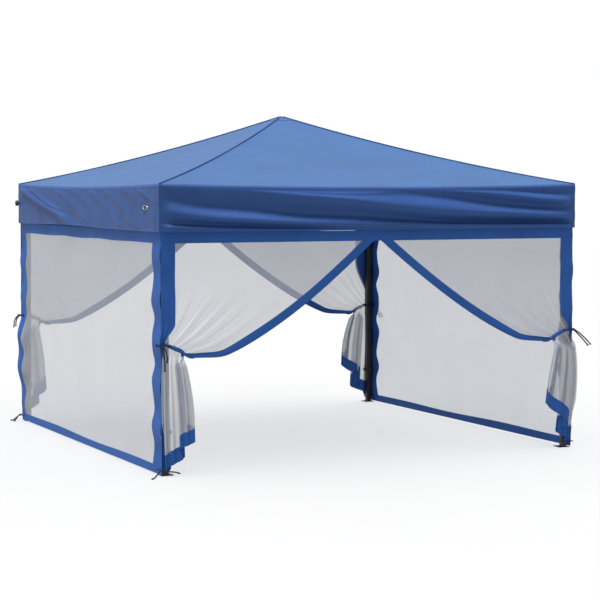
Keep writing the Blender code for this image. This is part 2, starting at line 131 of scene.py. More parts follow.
class Shader:
    """A node tree with a Principled shader, and short ways to add nodes to it."""

    def __init__(self, name, colour, roughness, **sockets):
        self.material = bpy.data.materials.new(name)
        self.material.use_nodes = True
        self.material.diffuse_color = tint(colour)
        self.tree = self.material.node_tree
        self.shader = self.tree.nodes["Principled BSDF"]
        self.shader.inputs["Base Color"].default_value = tint(colour)
        self.shader.inputs["Roughness"].default_value = roughness
        for socket, value in sockets.items():
            self.shader.inputs[socket.replace("_", " ")].default_value = value
        self.coordinates = self.node("ShaderNodeTexCoord")

    def node(self, kind, inputs=(), **settings):
        made = self.tree.nodes.new(kind)
        for key, value in settings.items():
            setattr(made, key, value)
        for socket, value in dict(inputs).items():
            if isinstance(value, bpy.types.NodeSocket):
                self.tree.links.new(value, made.inputs[socket])
            else:
                made.inputs[socket].default_value = value
        return made

    def finish(self, **outputs):
        """Links each output to the shader's socket of that name, and gives the material."""
        for socket, output in outputs.items():
            self.tree.links.new(output, self.shader.inputs[socket.replace("_", " ")])
        return self.material

    def noise(self, scale, detail=3.0, stretch=None):
        vector = self.coordinates.outputs["Object"]
        if stretch:
            vector = self.node("ShaderNodeMapping", {"Vector": vector, "Scale": stretch}).outputs[0]
        inputs = {"Vector": vector, "Scale": scale, "Detail": detail}
        return self.node("ShaderNodeTexNoise", inputs).outputs["Fac"]

    def wave(self, axis, pitch, space="UV", distortion=0.0):
        scale = math.tau / (20 * pitch)
        inputs = {"Vector": self.coordinates.outputs[space], "Scale": scale, "Distortion": distortion}
        return self.node("ShaderNodeTexWave", inputs, bands_direction=axis).outputs["Fac"]

    def part(self, space, axis):
        return self.node("ShaderNodeSeparateXYZ", {0: self.coordinates.outputs[space]}).outputs[axis]

    def math(self, operation, first, second, third=None):
        inputs = {0: first, 1: second}
        if third is not None:
            inputs[2] = third
        return self.node("ShaderNodeMath", inputs, operation=operation).outputs[0]

    def span(self, value, low, high, from_low=0.0, from_high=1.0):
        inputs = {"Value": value, "From Min": from_low, "From Max": from_high, "To Min": low, "To Max": high}
        return self.node("ShaderNodeMapRange", inputs).outputs[0]

    def mix(self, factor, first, second):
        made = self.node("ShaderNodeMix", data_type="RGBA")
        for socket, value in {"Factor": factor, "A": first, "B": second}.items():
            found = next(i for i in made.inputs if i.name == socket and i.enabled)
            if isinstance(value, bpy.types.NodeSocket):
                self.tree.links.new(value, found)
            else:
                found.default_value = value
        return next(o for o in made.outputs if o.enabled)

    def bump(self, height, strength, distance, under=None):
        inputs = {"Height": height, "Strength": strength, "Distance": distance}
        if under is not None:
            inputs["Normal"] = under
        return self.node("ShaderNodeBump", inputs).outputs[0]


WEAVE_PITCH = 0.0011
NET_PITCH = 0.0021
STITCH_PITCH = 0.0042
STITCH_HALF = 0.0006  # half the width of a line of stitches


def cloth_material(name, colour, roughness=0.55, stitch_lines=(), crinkle=0.25, sheen=0.02, gloss=0.28):
    """Plain-woven polyester: a fine weave with a painted highlight where its threads cross, soft crinkles,
    uneven dye, and stitching where a hem has it.
    """
    made = Shader(name, colour, roughness, Sheen_Weight=sheen, Sheen_Roughness=0.4, Specular_IOR_Level=gloss)
    weave = made.math("ADD", made.wave("X", WEAVE_PITCH), made.wave("Y", WEAVE_PITCH))
    shade = made.span(made.noise(2.6, 4), 0.0, 1.0, 0.3, 0.7)
    base = made.mix(shade, tint(colour, 0.91), tint(colour, 1.09))
    # painted highlight: the cloth is lighter where the two sets of threads cross and stand highest
    base = made.mix(made.span(weave, 0.0, 0.22, 0.4, 2.0), base, tint(colour, 1.35))
    normal = made.bump(made.noise(38, 4), crinkle, 0.004)
    normal = made.bump(weave, 0.2, 0.0004, normal)
    if stitch_lines:
        across = made.part("UV", "Y")
        lines = None
        for place in stitch_lines:
            line = made.math("COMPARE", across, place, STITCH_HALF)
            lines = line if lines is None else made.math("MAXIMUM", lines, line)
        dash = made.math("GREATER_THAN", made.wave("X", STITCH_PITCH), 0.3)
        stitched = made.math("MULTIPLY", lines, dash)
        base = made.mix(made.span(stitched, 0.0, 0.7), base, tint(colour, 1.9, 0.05))
        normal = made.bump(lines, 0.6, 0.0012, normal)
    rough = made.span(made.noise(9, 5), roughness - 0.07, roughness + 0.1)
    return made.finish(Base_Color=base, Normal=normal, Roughness=rough)


def net_material(name, colour, cover, gathered_below=None):
    """A fine square net: strands 2 mm apart with gaps that light passes, more tightly stretched in places.

    Below the height gathered_below its many turns lie on each other, so it is denser there, and it is painted
    darker in blotches there as painted shade among the turns.
    """
    made = Shader(name, colour, 0.7, Sheen_Weight=0.1)
    strands = made.math("MAXIMUM", made.wave("X", NET_PITCH), made.wave("Y", NET_PITCH))
    slack = made.span(made.noise(3.5, 4), -0.018, 0.018, 0.3, 0.7)
    alpha = made.math("ADD", made.span(strands, cover - 0.26, cover + 0.11), slack)
    shade = made.span(made.noise(5, 4), 0.0, 1.0, 0.3, 0.7)
    base = made.mix(shade, tint(colour, 0.97), tint(colour, 1.03))
    if gathered_below is not None:
        low, high = gathered_below - 0.12, gathered_below + 0.04
        gathered = made.span(made.part("Object", "Z"), 1.0, 0.0, low, high)
        turns = made.span(made.noise(16, 3, stretch=(5, 5, 0.4)), 0.55, 1.0, 0.3, 0.7)
        # painted shade: darker blotches on the gathered cloth below the tie
        base = made.mix(made.math("MULTIPLY", gathered, turns), base, tint(colour, 0.72))
        alpha = made.math("ADD", alpha, made.span(gathered, 0.0, 0.06))
    return made.finish(Base_Color=base, Alpha=alpha, Normal=made.bump(strands, 0.3, 0.0005))


def steel_material(name, colour):
    """Powder coat: a fine orange peel, uneven gloss, and faint rubbed streaks along the tubes."""
    made = Shader(name, colour, 0.38, Specular_IOR_Level=0.45)
    rubbed = made.span(made.noise(30, 6, stretch=(6, 6, 0.4)), 0.0, 0.35, 0.58, 0.8)
    base = made.mix(rubbed, tint(colour), tint(colour, 3, 0.012))
    rough = made.span(made.noise(22, 5), 0.3, 0.5)
    return made.finish(Base_Color=base, Roughness=rough, Normal=made.bump(made.noise(900, 2), 0.15, 0.0004))


def plastic_material(name, colour, roughness):
    """Moulded nylon: fine grain, slightly cloudy, scuffed here and there."""
    made = Shader(name, colour, roughness, Specular_IOR_Level=0.4)
    cloudy = made.span(made.noise(14, 5), 0.0, 1.0, 0.35, 0.7)
    base = made.mix(cloudy, tint(colour, 0.85), tint(colour, 1.3))
    rough = made.span(made.noise(60, 4), roughness - 0.1, roughness + 0.12)
    return made.finish(Base_Color=base, Roughness=rough, Normal=made.bump(made.noise(1400, 2), 0.3, 0.0005))


def cord_material(name, colour):
    """Braided cord: two sets of slanting strands, painted darker in the grooves between them as painted shade
    and lighter on them as painted highlight.
    """
    made = Shader(name, colour, 0.75, Specular_IOR_Level=0.2)
    slanting, level = made.wave("DIAGONAL", 0.003, "Object"), made.wave("Z", 0.0024, "Object", 1.5)
    braid = made.math("MAXIMUM", slanting, level)
    # painted shade in the braid's grooves and painted highlight on its strands
    base = made.mix(braid, tint(colour, 0.6), tint(colour, 1.3))
    rough = made.span(made.noise(400, 3), 0.6, 0.8)
    return made.finish(Base_Color=base, Roughness=rough, Normal=made.bump(braid, 0.6, 0.0008))


def metal_material(name, colour):
    """Stamped metal, with faint spots and an uneven gloss."""
    made = Shader(name, colour, 0.28, Metallic=1.0)
    rough = made.span(made.noise(120, 5), 0.2, 0.42)
    base = made.mix(made.noise(40, 4), tint(colour, 0.8), tint(colour))
    return made.finish(Base_Color=base, Roughness=rough, Normal=made.bump(made.noise(300, 3), 0.1, 0.0004))


# The roof, the valance and the walls' borders are one blue polyester given three tones to suit how each is
# lit: the roof's and the valance's darker, as painted shade, the borders' lighter, as painted light
BLUE = (0.018, 0.076, 0.270)
ROOF_BLUE = (0.016, 0.066, 0.182)
SKIRT_BLUE = (0.0133, 0.0525, 0.189)
WHITE = (0.288, 0.308, 0.345)
COVER = 0.62  # about how much the net's strands hide
SKIRT_STITCHES = (0.016, 0.019, SKIRT_DEPTH - 0.012)  # how far down the valance
WALL_STITCHES = (0.004, 0.054)  # how far in from a border's outer edge
ROOF_CLOTH = cloth_material("roof_cloth", ROOF_BLUE, roughness=0.58, crinkle=0.08, sheen=0.12)
SKIRT_CLOTH = cloth_material("skirt_cloth", SKIRT_BLUE, crinkle=0.12, stitch_lines=SKIRT_STITCHES)
WALL_CLOTH = cloth_material(
    "wall_cloth", BLUE, crinkle=0.3, gloss=0.12, sheen=0.0, stitch_lines=WALL_STITCHES
)
PIPING = cloth_material("piping_cloth", (0.013, 0.048, 0.140), roughness=0.6, crinkle=0.1)
NET = net_material("net_cloth", WHITE, COVER)
CURTAIN_NET = net_material("curtain_net_cloth", WHITE, COVER, gathered_below=TIE_Z)
STEEL = steel_material("black_powder_coat", (0.010, 0.010, 0.011))
PLASTIC = plastic_material("black_nylon", (0.013, 0.013, 0.014), 0.5)
BUTTON = plastic_material("grey_nylon", (0.15, 0.15, 0.16), 0.45)
CORD = cord_material("tie_cord", (0.008, 0.015, 0.036))
METAL = metal_material("eyelet_metal", (0.50, 0.52, 0.55))


# Shapes
def ease(value, low=0.0, high=1.0):
    """0 below low, 1 above high, and smooth between them."""
    t = np.clip((np.asarray(value, float) - low) / (high - low), 0, 1)
    return t * t * (3 - 2 * t)


def window(value, low, full, falling, high):
    """1 from full to falling, 0 below low and above high, and smooth between them."""
    return ease(value, low, full) * (1 - ease(value, falling, high))


def find_gap(value, places):
    """Which gap between two places each value is in, how wide it is, and the share of it before the value."""
    places = np.array(places, float)
    index = np.clip(np.searchsorted(places, value, side="right") - 1, 0, len(places) - 2)
    gap = places[index + 1] - places[index]
    return index, gap, np.clip((value - places[index]) / gap, 0, 1)


def eased_line(value, places, heights):
    """A curve through the given heights that is level at each place."""
    index, _, t = find_gap(value, places)
    heights = np.array(heights, float)
    return heights[index] + (heights[index + 1] - heights[index]) * (0.5 - 0.5 * np.cos(np.pi * t))


def ripple(x, y, seed, wavelength, count=7):
    """Smooth unevenness from a few crossed waves, between about -1 and 1."""
    random = np.random.default_rng(seed)
    total = 0
    for _ in range(count):
        angle, phase = random.uniform(0, math.pi), random.uniform(0, math.tau)
        number = math.tau / (wavelength * random.uniform(0.7, 1.6))
        total = total + np.sin(number * (x * math.cos(angle) + y * math.sin(angle)) + phase)
    return total / count


def place(side, along, out, z):
    """Points in the row frame from places on a side: along it, out from the centre line, and up."""
    a, o = (np.array(v, float) for v in SIDES[side])
    along, out, z = np.broadcast_arrays(*(np.asarray(v, float) for v in (along, out, z)))
    return along[..., None] * a + out[..., None] * o + z[..., None] * np.array((0, 0, 1.0))


def unit(vectors):
    return vectors / np.maximum(np.linalg.norm(vectors, axis=-1, keepdims=True), 1e-12)


def mesh_object(name, points, faces, material, loop_normals=None, uv=None):
    """A smooth mesh. faces are lists of point numbers, and uv is each point's place on the map."""
    mesh = bpy.data.meshes.new(name)
    mesh.from_pydata(points.tolist(), [], faces)
    mesh.polygons.foreach_set("use_smooth", np.ones(len(mesh.polygons), bool))
    if uv is not None:
        corners = [number for face in faces for number in face]
        layer = mesh.uv_layers.new(name="UVMap")
        layer.data.foreach_set("uv", uv[corners].astype(np.float32).ravel())
    mesh.materials.append(material)
    if loop_normals is not None:
        mesh.normals_split_custom_set(loop_normals.tolist())
    made = bpy.data.objects.new(name, mesh)
    bpy.context.scene.collection.objects.link(made)
    return made


def cloth(name, grid, material, outward, thickness=0.0, normals=None):
    """A sheet through a grid of points: one layer, or a closed one of that thickness centred on the points.

    Its UV map is in metres.
    """
    rows, columns = grid.shape[:2]
    lengths = np.linalg.norm(np.diff(grid, axis=1), axis=2).mean(0)
    widths = np.linalg.norm(np.diff(grid, axis=0), axis=2).mean(1)
    u = np.concatenate([[0], np.cumsum(lengths)])
    v = np.concatenate([[0], np.cumsum(widths)])
    uv = np.stack(np.broadcast_arrays(u[None, :], v[:, None]), axis=-1).reshape(-1, 2)
    across = np.cross(np.gradient(grid, axis=1), np.gradient(grid, axis=0))
    normals = unit(across if normals is None else normals)
    if (normals @ np.array(outward, float)).mean() < 0:
        normals = -normals
    flipped = (across * normals).sum() < 0
    number = np.arange(rows * columns).reshape(rows, columns)
    corners = [number[:-1, :-1], number[:-1, 1:], number[1:, 1:], number[1:, :-1]]
    quads = np.stack(corners, axis=-1).reshape(-1, 4)
    if flipped:
        quads = quads[:, ::-1]
    flat_normals = normals.reshape(-1, 3)
    front = flat_normals[quads.ravel()]
    if not thickness:
        return mesh_object(name, grid.reshape(-1, 3), quads.tolist(), material, front, uv)
    count = rows * columns
    edge = np.concatenate([number[0, :], number[1:, -1], number[-1, -2::-1], number[-2:0:-1, 0]])
    following = np.roll(edge, -1)
    rim = np.stack([following, edge, edge + count, following + count], axis=-1)
    if flipped:
        rim = rim[:, ::-1]
    shift = flat_normals * thickness / 2
    points = np.concatenate([grid.reshape(-1, 3) + shift, grid.reshape(-1, 3) - shift])
    faces = np.concatenate([quads, quads[:, ::-1] + count, rim])
    corners = points[rim]
    rim_normals = unit(np.cross(corners[:, 2] - corners[:, 0], corners[:, 3] - corners[:, 1]))
    loops = np.concatenate([front, -flat_normals[quads[:, ::-1].ravel()], np.repeat(rim_normals, 4, axis=0)])
    return mesh_object(name, points, faces.tolist(), material, loops, np.concatenate([uv, uv]))


def smooth_path(points, steps):
    """More points on a smooth curve through the given ones."""
    points = np.array(points, float)
    padded = np.concatenate([[2 * points[0] - points[1]], points, [2 * points[-1] - points[-2]]])
    t = (np.arange(steps) / steps)[:, None]
    made = []
    for before, start, end, after in zip(padded[:-3], padded[1:-2], padded[2:-1], padded[3:]):
        bend = 2 * before - 5 * start + 4 * end - after
        twist = 3 * start - 3 * end + after - before
        made.append(0.5 * (2 * start + (end - before) * t + bend * t**2 + twist * t**3))
    return np.concatenate([*made, points[-1:]])


def round_faces(current, following):
    """Quads between rings of point numbers and the rings that follow them."""
    corners = [current, np.roll(current, -1, 1), np.roll(following, -1, 1), following]
    return np.stack(corners, axis=-1).reshape(-1, 4).tolist()


TUBE_SIDES = 8


def tube(name, path, radius, material, closed=False):
    """A tube along a path, with a low cone on each end unless it is closed."""
    path = np.array(path, float)
    tangents = unit(np.roll(path, -1, 0) - np.roll(path, 1, 0) if closed else np.gradient(path, axis=0))
    reference = (0, 0, 1.0) if abs(tangents[0][2]) < 0.9 else (1.0, 0, 0)
    side = unit(np.cross(tangents[0], reference))
    angles = np.arange(TUBE_SIDES)[:, None] * math.tau / TUBE_SIDES
    rings = []
    for point, tangent in zip(path, tangents):
        side = unit(side - tangent * (side @ tangent))
        up = np.cross(tangent, side)
        rings.append(point + radius * (np.cos(angles) * side + np.sin(angles) * up))
    number = np.arange(len(rings) * TUBE_SIDES).reshape(-1, TUBE_SIDES)
    uv = np.stack([number.ravel() // TUBE_SIDES * 0.003, number.ravel() % TUBE_SIDES * 0.001], axis=-1)
    if closed:
        faces = round_faces(number, np.roll(number, -1, 0))
        return mesh_object(name, np.concatenate(rings), faces, material, uv=uv)
    tips = path[[0, -1]] + tangents[[0, -1]] * radius * 0.6 * np.array([[-1], [1]])
    first, last = number[0].tolist(), number[-1].tolist()
    faces = round_faces(number[:-1], number[1:])
    faces += [[after, now, number.size] for now, after in zip(first, first[1:] + first[:1])]
    faces += [[now, after, number.size + 1] for now, after in zip(last, last[1:] + last[:1])]
    uv = np.concatenate([uv, uv[[0, -1]]])
    return mesh_object(name, np.concatenate([*rings, tips]), faces, material, uv=uv)


def turned(name, profile, centre, axis, material, oval=1.0, lobes=0, lobe_depth=0.0, sides=48):
    """A shape turned about a level axis from (radius, distance along it) pairs, oval or lobed if asked."""
    axis = unit(np.array(axis, float))
    level = unit(np.cross(axis, (0, 0, 1.0)))
    up = np.cross(level, axis)
    angles = np.arange(sides)[:, None] * math.tau / sides
    swell = 1 + lobe_depth * np.cos(lobes * angles)
    outline = swell * (oval * np.cos(angles) * level + np.sin(angles) * up)
    rings = [np.array(centre) + axis * h + r * outline for r, h in profile]
    number = np.arange(len(rings) * sides).reshape(-1, sides)
    uv = np.stack([number.ravel() % sides * 0.002, number.ravel() // sides * 0.002], axis=-1)
    return mesh_object(name, np.concatenate(rings), round_faces(number[:-1], number[1:]), material, uv=uv)


def stand_in(piece, body, node="canopy"):
    """Makes a piece ride on a body and stand for a CAD node, which it hides."""
    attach(piece, body)
    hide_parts(node)


# Ties: the cords that hold the curtains and the bottoms of the walls to the legs
CORD_WIDTH = 0.009


def knot(name, centre, size, radius, body):
    """A small overhand knot."""
    t = np.linspace(0, math.tau, 60, endpoint=False)
    path = np.stack([np.sin(t) + 2 * np.sin(2 * t), np.cos(t) - 2 * np.cos(2 * t), -np.sin(3 * t)], axis=-1)
    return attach(tube(name, np.array(centre) + path * size, radius, CORD, closed=True), body)


def tie(name, body, route):
    """A loose end of a tie, from the knot that holds it to the small knot at its own end."""
    points = smooth_path(route, steps=6)
    data = bpy.data.curves.new(name, "CURVE")
    data.dimensions = "3D"
    data.bevel_depth = CORD_WIDTH / 2
    data.bevel_resolution = 3
    data.use_fill_caps = True
    spline = data.splines.new("POLY")
    spline.points.add(len(points) - 1)
    spline.points.foreach_set("co", np.concatenate([points, np.ones((len(points), 1))], axis=1).ravel())
    data.materials.append(CORD)
    made = bpy.data.objects.new(name, data)
    bpy.context.scene.collection.objects.link(made)
    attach(made, body)
    end = knot(name + "_end_knot", points[-1], 0.0018, 0.0030, body)


# Where the loose ends run, as (x, y, z) with x and y outwards from the middle at each corner
WAIST_ENDS = {
    "front_left": (
        ((1.488, 1.517, 0.795), (1.484, 1.530, 0.765), (1.480, 1.533, 0.712), (1.478, 1.531, 0.652)),
        ((1.478, 1.517, 0.792), (1.470, 1.528, 0.772), (1.465, 1.532, 0.740), (1.463, 1.531, 0.706)),
    ),
    "front_right": (
        ((1.500, 1.500, 0.806), (1.522, 1.524, 0.786), (1.556, 1.552, 0.747), (1.583, 1.575, 0.708)),
        ((1.500, 1.502, 0.800), (1.516, 1.524, 0.776), (1.542, 1.550, 0.738), (1.564, 1.572, 0.702)),
    ),
    "back_right": (
        ((1.503, 1.485, 0.806), (1.528, 1.476, 0.780), (1.558, 1.462, 0.742), (1.583, 1.450, 0.700)),
        ((1.503, 1.483, 0.800), (1.522, 1.474, 0.770), (1.546, 1.466, 0.730), (1.566, 1.460, 0.694)),
    ),
    "back_left": (
        ((1.503, 1.500, 0.800), (1.524, 1.508, 0.782), (1.538, 1.510, 0.752), (1.542, 1.508, 0.712)),
        ((1.503, 1.496, 0.794), (1.520, 1.496, 0.778), (1.530, 1.492, 0.750), (1.532, 1.490, 0.724)),
    ),
}
GROUND_ENDS = {
    "front_left": (
        ((1.498, 1.503, 0.040), (1.525, 1.530, 0.026), (1.556, 1.558, 0.008), (1.582, 1.583, 0.005)),
        ((1.478, 1.508, 0.046), (1.452, 1.528, 0.034), (1.420, 1.540, 0.030), (1.392, 1.545, 0.022)),
    ),
    "back_left": (
        ((1.503, 1.498, 0.040), (1.530, 1.490, 0.026), (1.558, 1.474, 0.010), (1.583, 1.460, 0.006)),
        ((1.503, 1.490, 0.046), (1.528, 1.468, 0.034), (1.552, 1.440, 0.016), (1.572, 1.415, 0.006)),
    ),
    "back_right": (
        ((1.500, 1.503, 0.040), (1.520, 1.528, 0.026), (1.539, 1.556, 0.008), (1.551, 1.582, 0.005)),
    ),
    "front_right": (),
}


def at_corner(corner, x, y, z):
    sign = CORNERS[corner]
    return (sign[0] * x, sign[1] * y, z)


def make_ties():
    """The loose ends at each corner, and the knots that they come out of."""
    for corner in CORNERS:
        outer, inner = f"{corner}_outer_leg", f"{corner}_inner_leg"
        waist, ground = WAIST_ENDS[corner], GROUND_ENDS[corner]
        for number, route in enumerate(waist, 1):
            tie(f"{corner}_waist_tie_{number}", outer, [at_corner(corner, *p) for p in route])
        for number, route in enumerate(ground, 1):
            tie(f"{corner}_ground_tie_{number}", inner, [at_corner(corner, *p) for p in route])
        x, y, z = waist[0][0]
        knot(f"{corner}_waist_knot", at_corner(corner, x - 0.004, y - 0.002, z), 0.0042, 0.0034, outer)
        if ground:
            x, y, z = ground[0][0]
            knot(f"{corner}_ground_knot", at_corner(corner, x - 0.004, y - 0.004, z), 0.003, 0.0026, inner)


make_ties()


def leg_loop(corner, kind, leg, z, reach, radius, slant=0.002, centre=LEG_AT):
    """A cord wound round a leg and what is gathered against it. reach is from its centre to a flat side."""
    t = np.linspace(0, math.tau, 48, endpoint=False)
    squareness = (np.abs(np.cos(t)) ** 8 + np.abs(np.sin(t)) ** 8) ** -0.125
    x = centre + reach * squareness * np.cos(t)
    y = centre + reach * squareness * np.sin(t)
    path = [at_corner(corner, a, b, z + slant * math.sin(c)) for a, b, c in zip(x, y, t)]
    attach(tube(f"{corner}_{kind}", path, radius, CORD, closed=True), f"{corner}_{leg}")


def make_leg_loops():
    """Three turns at each curtain tie, a thin string below them, and one turn at the ground."""
    for corner in CORNERS:
        for turn in range(3):
            z, reach = TIE_Z - 0.010 + 0.0046 * turn, 0.0380 + 0.0008 * turn
            slant = 0.004 - 0.003 * turn
            leg_loop(corner, f"waist_loop_{turn + 1}", "outer_leg", z, reach, 0.0023, slant, LEG_AT + 0.0115)
        leg_loop(corner, "string", "outer_leg", 0.590, 0.0222, 0.0011)
        leg_loop(corner, "ground_loop", "inner_leg", 0.040, 0.0355, 0.0022, centre=LEG_AT + 0.016)


make_leg_loops()


# Roof
def roof_z(along, out):
    """Height of the roof cloth on one side, from its distance out and its place along the side."""
    share = out / HALF
    across = along / np.maximum(np.abs(out), 1e-6)
    slope = PEAK_Z + (EAVE_Z - PEAK_Z) * share - 4 * HIP_SAG * share * (1 - share)
    return slope - EAVE_SAG * share**2 * (1 - across**2)


def roof_points(side, along, out):
    """The roof with its gentle unevenness, which is the same either side of a hip."""
    x, y, _ = np.moveaxis(place(side, along, out, 0), -1, 0)
    soft = window(out, 0.1, 0.7, HALF - 0.25, HALF)
    return place(side, along, out, roof_z(along, out) + 0.0022 * soft * ripple(x, y, 3, 0.55))


def roof_normals(side, along, out):
    step = 2e-3
    level = roof_points(side, along + step, out) - roof_points(side, along - step, out)
    down = roof_points(side, along, out + step) - roof_points(side, along, out - step)
    return np.cross(level, down)


GORES = 8


def close_roof(piece):
    """Makes a piece of the roof ride on the hub, with a mesh of its own."""
    stand_in(piece, "hub")
    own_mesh(piece)


def make_roof():
    """The roof as one smooth surface, cut into narrow gores that ride on the hub."""
    share = (HALF - EAVE_ROUND) / HALF
    out = np.linspace(0.004, share, 44)[:, None] * HALF
    for side, (along_axis, outward) in SIDES.items():
        for number in range(GORES):
            edges = np.linspace(-1, 1, GORES + 1)[number : number + 2]
            along = np.linspace(*edges, 13)[None, :] * out
            normals = roof_normals(side, along, np.broadcast_to(out, along.shape))
            points = roof_points(side, along, out)
            gore = cloth(f"{side}_roof_gore_{number + 1}", points, ROOF_CLOTH, (0, 0, 1), normals=normals)
            close_roof(gore)


def make_piping():
    """The dark seam along each hip, and the one down each corner of the valance."""
    for corner, (x, y) in CORNERS.items():
        out = np.linspace(0.01, HALF - 0.004, 60)
        path = np.stack([x * out, y * out, roof_z(out, out) + 0.0022], axis=-1)
        close_roof(tube(f"{corner}_hip_seam", path, 0.0052, PIPING))
        drop = np.linspace(0, 1, 24)
        edge = HALF - 0.003
        sway = 0.0009 * np.sin(drop * 9 + x) + 0.0006 * np.sin(drop * 21 + y)
        z = EAVE_Z - 0.002 - drop * (SKIRT_DEPTH - 0.006)
        path = np.stack([x * (edge + sway), y * (edge + 0.5 * sway), z], axis=-1)
        stand_in(tube(f"{corner}_skirt_seam", path, 0.0030, PIPING), f"{corner}_outer_leg")


PATCH_HALF = 0.075  # half the width of the patch


def make_peak():
    """The square patch over the head of the mast, in eight parts that ride on the hub."""
    out = np.linspace(0.01, 1, 14)[:, None] * PATCH_HALF
    for side, (along_axis, outward) in SIDES.items():
        for number, edges in enumerate(((-1, 0), (0, 1)), 1):
            along = np.linspace(*edges, 12)[None, :] * out
            dip = 0.003 * np.exp(-((np.hypot(along, out) / 0.014) ** 2))
            points = place(side, along, out, roof_z(along, out) + 0.0014 - dip)
            normals = roof_normals(side, along, np.broadcast_to(out, along.shape))
            patch = cloth(f"{side}_peak_patch_{number}", points, ROOF_CLOTH, (0, 0, 1), normals=normals)
            stand_in(patch, "hub")
            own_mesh(patch)


make_roof()
make_piping()
make_peak()


# Valance
# Crests and troughs of the front valance, from the top down. Each is a line that runs along it, given at
# FRONT_PLACES by two rows in millimetres: its depths below the eave, and how far it stands out
FRONT_PLACES = (-1.48, -1.23, -0.90, -0.56, -0.20, 0.16, 0.53, 0.91, 1.30, 1.48)
FRONT_LINES = (
    ((2, 3, 4, 6, 7, 8, 9, 12, 22, 26), (0, 0, 0, 0, 0, 0, 0, 1, 1, 1)),
    ((4, 5, 6, 12, 16, 12, 16, 26, 46, 62), (0, 0, 0, 1, 1, 1, 1, 0, -7, -6)),
    ((6, 8, 9, 20, 28, 18, 26, 56, 98, 112), (0, 1, 1, 2, 4, 2, 3, 8, 8, 4)),
    ((8, 12, 14, 34, 52, 34, 62, 112, 140, 150), (1, 1, 1, 4, 8, 1, -8, -14, -14, -9)),
    ((12, 20, 25, 54, 80, 132, 166, 186, 206, 216), (1, 2, 3, 9, 15, 18, 17, 16, 12, 6)),
    ((82, 112, 132, 172, 186, 214, 240, 246, 250, 254), (-8, -18, -23, -21, -18, -15, -16, -17, -16, -12)),
    ((168, 200, 224, 242, 250, 257, 264, 269, 273, 275), (8, 13, 15, 13, 12, 13, 14, 14, 13, 9)),
    ((232, 245, 258, 266, 272, 277, 281, 284, 286, 287), (-7, -7, -6, 0, 8, 11, 12, 12, 11, 9)),
    ((262, 272, 281, 286, 289, 291, 291, 291, 291, 291), (14, 15, 15, 13, 12, 11, 11, 11, 11, 9)),
)
# Ridges of the left valance: height, half width, and the ridge's line as (place along, depth below the eave)
LEFT_RIDGES = (
    (0.0140, 0.020, ((-1.44, 0.020), (-1.14, 0.086), (-0.82, 0.150), (-0.42, 0.220), (-0.24, 0.292))),
    (0.0075, 0.018, ((-1.20, 0.020), (-0.98, 0.078), (-0.72, 0.138), (-0.50, 0.176))),
    (0.0042, 0.026, ((-0.62, 0.010), (-0.40, 0.070), (-0.12, 0.150), (0.09, 0.255))),
    (0.0038, 0.026, ((-0.20, 0.010), (0.02, 0.080), (0.24, 0.152), (0.44, 0.268))),
    (0.0042, 0.028, ((0.12, 0.010), (0.36, 0.080), (0.64, 0.180), (0.83, 0.280))),
    (0.0038, 0.028, ((0.42, 0.010), (0.64, 0.070), (0.89, 0.164), (1.13, 0.286))),
    (0.0034, 0.028, ((0.80, 0.010), (1.04, 0.060), (1.34, 0.171), (1.44, 0.230))),
    (0.0050, 0.018, ((1.08, 0.010), (1.20, 0.045), (1.38, 0.097), (1.46, 0.130))),
)
EYELET = (1.268, 0.143)  # place along the side, and depth below the eave
SKIRT_THICK = 0.0016


def fold_relief(along, depth, places, lines):
    """How far the cloth stands out: a smooth curve down through crests and troughs that run along it."""
    relief = np.zeros(np.broadcast(along, depth).shape)
    last_depth, last_out = np.zeros_like(along), np.zeros_like(along)
    for depths, outs in lines:
        line_depth = smooth_interp(along, places, depths) / 1000
        line_out = smooth_interp(along, places, outs) / 1000
        share = np.clip((depth - last_depth) / np.maximum(line_depth - last_depth, 1e-5), 0, 1)
        here = last_out + (line_out - last_out) * (0.5 - 0.5 * np.cos(np.pi * share))
        relief = np.where(depth >= last_depth, here, relief)
        last_depth, last_out = line_depth, line_out
    return relief


def smooth_interp(value, places, heights):
    """A smooth curve through the given heights, which keeps its slope at each place."""
    index, gap, t = find_gap(value, places)
    heights = np.array(heights, float)
    slopes = np.gradient(heights, places)
    start, end = heights[index], heights[index + 1]
    return (
        start * (2 * t**3 - 3 * t**2 + 1)
        + slopes[index] * gap * (t**3 - 2 * t**2 + t)
        + end * (3 * t**2 - 2 * t**3)
        + slopes[index + 1] * gap * (t**3 - t**2)
    )


def ridge_relief(along, depth, ridges):
    """Slanting ridges, each a rounded rise along its line."""
    total = np.zeros(np.broadcast(along, depth).shape)
    for height, width, line in ridges:
        places, depths = zip(*line)
        slope = (places[-1] - places[0]) / (depths[-1] - depths[0])
        centre = np.interp(depth, depths, places)
        fade = window(depth, -0.01, 0.04, depths[-1] - 0.03, depths[-1] + 0.05)
        across = (along - centre) / (width * math.hypot(1, slope))
        across = np.where(across < 0, 1.5 * across, across)
        total = total + 1.4 * height * fade * np.cosh(np.clip(across, -20, 20)) ** -2
    return total


SKIRT_LIFT = {"front": 0.0, "right": 0.004, "back": 0.002, "left": 0.010}  # how far a hem is drawn up


